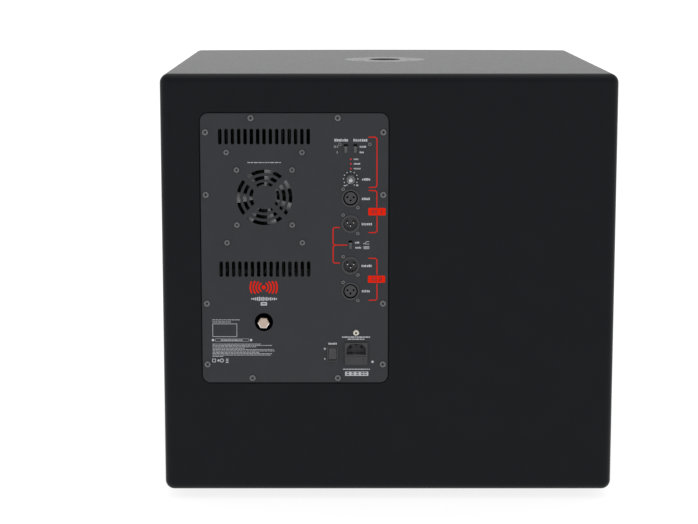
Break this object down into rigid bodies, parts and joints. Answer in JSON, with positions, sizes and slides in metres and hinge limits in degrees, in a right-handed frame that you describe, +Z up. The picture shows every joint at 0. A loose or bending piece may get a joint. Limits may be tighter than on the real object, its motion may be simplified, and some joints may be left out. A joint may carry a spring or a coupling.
{
  "type": "powered subwoofer",
  "caption": "Powered stage subwoofer with a bowed front grille, side pocket handles, pole socket and a rear amplifier panel with fan, connectors and controls.",
  "frame": {"origin": "centre of the bounding box's footprint, at the underside of the feet", "axes": "+Z up, grille towards -Y, amplifier panel towards +Y, X across"},
  "size_m": [0.59, 0.6219, 0.562],
  "materials": {
    "cabinet_coating": "fine textured black coating on plywood",
    "black_stained_ply": "plywood stained black, satin",
    "bare_plywood": "bare plywood",
    "wadding_felt": "soft fibre wadding",
    "grille_steel": "black powder-coated steel, satin",
    "acoustic_foam": "open-cell foam",
    "black_screws": "black-coated steel",
    "black_rubber": "matt",
    "cast_frame": "dark powder-coated casting",
    "surround_cloth": "doped cloth",
    "cone_paper": "black coated paper, fibrous",
    "spider_cloth": "resin-dipped cloth",
    "coil_copper": "copper winding",
    "motor_steel": "plated steel",
    "ferrite": "ground ferrite",
    "panel_paint": "dark grey powder coat, fine texture",
    "panel_print_white": "screen print, pale grey",
    "panel_print_red": "screen print, red",
    "panel_screw_steel": "dark plated steel",
    "zinc_sheet": "galvanised sheet",
    "heatsink_aluminium": "extruded, black anodised",
    "fan_plastic": "moulded",
    "circuit_board": "green circuit board",
    "transformer_winding": "taped copper winding",
    "zinc_bolt": "bright zinc",
    "connector_plastic": "black moulding",
    "insert_plastic": "dark grey moulding",
    "slider_plastic": "grey moulding",
    "pot_metal": "plated steel",
    "knob_plastic": "dark grey moulding with a lighter cap",
    "red_led": "clear red, glowing",
    "plated_pins": "plated",
    "brass_screw": "pale brass",
    "fuse_glass": "clear glass with metal caps",
    "rocker_plastic": "satin black",
    "cable_jacket": "soft jacket",
    "socket_metal": "dark grey coated steel",
    "handle_plastic": "grained moulding"
  },
  "bodies": {
    "root": {"cabinet_top": "cabinet_coating", "cabinet_bottom": "cabinet_coating", "cabinet_left": "cabinet_coating", "cabinet_right": "cabinet_coating", "cabinet_rear": "cabinet_coating", "front_baffle": "black_stained_ply", "cross_brace": "bare_plywood", "port_boards": "black_stained_ply", "grille_rails": "black_stained_ply", "wadding": "wadding_felt", "grille_panel": "grille_steel", "grille_foam": "acoustic_foam", "grille_screws": "black_screws", "woofer_gasket": "black_rubber", "woofer_basket": "cast_frame", "woofer_surround": "surround_cloth", "woofer_spider": "spider_cloth", "woofer_motor_steel": "motor_steel", "woofer_magnet": "ferrite", "woofer_bolts": "black_screws", "amp_panel": "panel_paint", "amp_gasket": "black_rubber", "amp_panel_screws": "panel_screw_steel", "amp_back_cover": "zinc_sheet", "heatsink": "heatsink_aluminium", "fan_frame": "fan_plastic", "module_screws": "panel_screw_steel", "amp_board": "circuit_board", "transformer": "transformer_winding", "transformer_bolt": "zinc_bolt", "control_board": "circuit_board", "switch_bodies": "connector_plastic", "level_pot": "pot_metal", "status_leds": "red_led", "xlr_shells": "connector_plastic", "xlr_input_inserts": "insert_plastic", "xlr_output_pins": "plated_pins", "connector_screws": "panel_screw_steel", "ground_screw": "brass_screw", "iec_inlet": "connector_plastic", "iec_pins": "plated_pins", "power_switch_frame": "connector_plastic", "speaker_cable": "cable_jacket", "pole_socket": "socket_metal", "handle_left": "handle_plastic", "handle_right": "handle_plastic", "feet": "black_rubber", "wood_screws": "black_screws"},
    "cone": {"woofer_cone": "cone_paper", "woofer_dust_cap": "cone_paper", "woofer_voice_coil": "coil_copper"},
    "fan": {"fan_impeller": "fan_plastic"},
    "level": {"level_knob": "knob_plastic"},
    "polarity": {"polarity_slider": "slider_plastic"},
    "contour": {"contour_slider": "slider_plastic"},
    "link": {"link_slider": "slider_plastic"},
    "drawer": {"fuse_drawer": "connector_plastic", "fuse": "fuse_glass"},
    "rocker": {"power_rocker": "rocker_plastic"}
  },
  "joints": [
    {"name": "cone_travel", "type": "slide", "parent": "root", "child": "cone", "axis": [0, -1, 0], "range_m": [-0.01, 0.01], "stiffness_N_per_m": 9000, "deforming": ["woofer_surround", "woofer_spider"]},
    {"name": "fan_spin", "type": "hinge", "parent": "root", "child": "fan", "pos_m": [0.16085, 0.285, 0.4028], "axis": [0, 1, 0], "continuous": true},
    {"name": "level_turn", "type": "hinge", "parent": "root", "child": "level", "pos_m": [0.0493, 0.299, 0.4263], "axis": [0, -1, 0], "range_deg": [0, 300]},
    {"name": "polarity_slide", "type": "slide", "parent": "root", "child": "polarity", "axis": [0, 0, 1], "range_m": [0, 0.002]},
    {"name": "contour_slide", "type": "slide", "parent": "root", "child": "contour", "axis": [0, 0, 1], "range_m": [0, 0.002]},
    {"name": "link_slide", "type": "slide", "parent": "root", "child": "link", "axis": [0, 0, 1], "range_m": [0, 0.002]},
    {"name": "fuse_drawer_slide", "type": "slide", "parent": "root", "child": "drawer", "axis": [0, 1, 0], "range_m": [0, 0.022]},
    {"name": "power_rock", "type": "hinge", "parent": "root", "child": "rocker", "pos_m": [0.0731, 0.296, 0.1967], "axis": [-1, 0, 0], "range_deg": [0, 22]}
  ]
}
